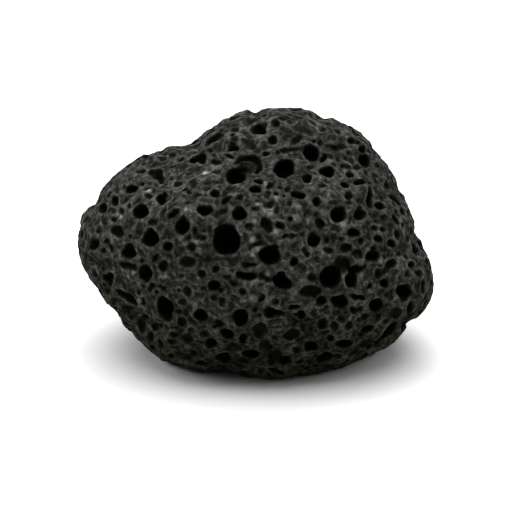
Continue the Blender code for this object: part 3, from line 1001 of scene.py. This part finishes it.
def basalt():
    material = bpy.data.materials.new("basalt")
    shader = Shader(material)
    hollow = shader.attribute("hollow")
    edge = shader.attribute("edge")
    height = shader.height()
    grain = shader.noise(GRAIN)
    blobs = shader.noise(BLOBS, BLOB_DETAIL)

    # Painted shade: the stone is darker, and more olive, towards the floor.
    colour = shader.tint(shader.ramp(height, *STONE_HEIGHT), SHADED_LOW_STONE, STONE)
    colour = shader.shaded(colour, stone_tone_and_painted_light(shader, edge, height, grain, blobs))
    # Painted shade in the holes, darkest where they are deepest.
    colour = shader.tint(shader.ramp(hollow, *HOLLOW_DEPTH), colour, PAINTED_HOLE_SHADE)
    speck = shader.product(
        shader.attribute("speck"),
        shader.ramp(grain, *SPECK_BY_GRAIN),
        shader.ramp(hollow, *SPECK_BY_HOLLOW),
    )
    colour = shader.tint(speck, colour, SPECK)
    shader.set(shader.surface.inputs["Base Color"], colour)
    shader.surface.inputs["Roughness"].default_value = ROUGHNESS
    shader.surface.inputs["Specular IOR Level"].default_value = STONE_SPECULAR
    shader.set(shader.surface.inputs["Normal"], stone_bump(shader, grain, blobs))
    return material


def add_floor():
    corners = np.array(((-1, -1, 0), (1, -1, 0), (1, 1, 0), (-1, 1, 0))) * FLOOR_REACH
    mesh = mesh_of("floor", corners, np.array(((0, 1, 2, 3),)))
    floor = bpy.data.objects.new("floor", mesh)
    bpy.context.scene.collection.objects.link(floor)
    material = bpy.data.materials.new("pale floor")
    shader = Shader(material)
    shader.surface.inputs["Base Color"].default_value = FLOOR
    shader.surface.inputs["Roughness"].default_value = ROUGHNESS
    shader.surface.inputs["Specular IOR Level"].default_value = 0.0
    mesh.materials.append(material)


def facing_matrix(place, target):
    """A camera's or a light's place, turned to look at target."""
    back = unit(np.array(place) - np.array(target))
    side = unit(np.cross((0.0, 0.0, 1.0), back))
    up = np.cross(back, side)
    matrix = Matrix.Identity(4)
    for row in range(3):
        matrix[row][:] = (side[row], up[row], back[row], place[row] * MM)
    return matrix


def add_camera():
    camera = bpy.data.cameras.new("camera")
    camera.sensor_width = SENSOR
    camera.lens = SENSOR * AWAY / FRAME_WIDTH
    camera.clip_start = CLIP_START * MM
    holder = bpy.data.objects.new("camera", camera)
    bpy.context.scene.collection.objects.link(holder)
    holder.matrix_world = facing_matrix(EYE, FRAME_CENTRE)
    bpy.context.scene.camera = holder


def add_light(name, place, size, power):
    light = bpy.data.lights.new(name, "AREA")
    light.shape = "DISK"
    light.size = size * MM
    light.energy = power
    holder = bpy.data.objects.new(name, light)
    bpy.context.scene.collection.objects.link(holder)
    holder.matrix_world = facing_matrix(place, MIDDLE)


def add_world():
    """A dim surround that only the eye sees as white."""
    world = bpy.data.worlds.new("studio")
    world.use_nodes = True
    tree = world.node_tree
    background = tree.nodes["Background"]
    background.inputs["Color"].default_value = WHITE
    rays = tree.nodes.new("ShaderNodeLightPath")
    strength = tree.nodes.new("ShaderNodeMath")
    strength.operation = "MAXIMUM"
    strength.inputs[1].default_value = WORLD
    tree.links.new(rays.outputs["Is Camera Ray"], strength.inputs[0])
    tree.links.new(strength.outputs[0], background.inputs["Strength"])
    bpy.context.scene.world = world


def rock_mesh(node):
    fields = carved_rock(node)
    rock = fields["rock"]
    points, quads = surface_of(rock)
    mesh = lightened(mesh_of(PIECE, points, quads))
    surface = vertex_points(mesh)
    add_attribute(mesh, "hollow", np.clip(-fields["skin"].at(surface), 0, HOLLOW_MOST))
    for name in ("edge", "wide_froth", "fine_froth"):
        add_attribute(mesh, name, fields[name].at(surface))
    rng = np.random.default_rng(SPECK_SEED)
    add_attribute(mesh, "speck", speck_strengths(surface, rock, rng))
    ridges = Field(rock.low, rock.step, blurred(rock.values, RIDGE_BLUR))
    add_attribute(mesh, "ridge", ridges.at(surface))
    mesh.shade_smooth()
    return mesh


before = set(bpy.data.objects)
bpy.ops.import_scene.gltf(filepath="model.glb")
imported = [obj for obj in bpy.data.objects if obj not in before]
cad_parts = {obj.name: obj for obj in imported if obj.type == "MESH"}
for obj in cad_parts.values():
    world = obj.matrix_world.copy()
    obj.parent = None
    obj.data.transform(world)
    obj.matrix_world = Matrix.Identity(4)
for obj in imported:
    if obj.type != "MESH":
        bpy.data.objects.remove(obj)
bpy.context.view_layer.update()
piece = bpy.data.objects.new(PIECE, rock_mesh(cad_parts[NODE]))
bpy.context.scene.collection.objects.link(piece)
piece.data.materials.append(basalt())
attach(piece, "root")
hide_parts(NODE)
add_floor()
add_camera()
for light in LIGHTS:
    add_light(*light)
add_world()
bpy.context.scene.view_settings.view_transform = "Standard"
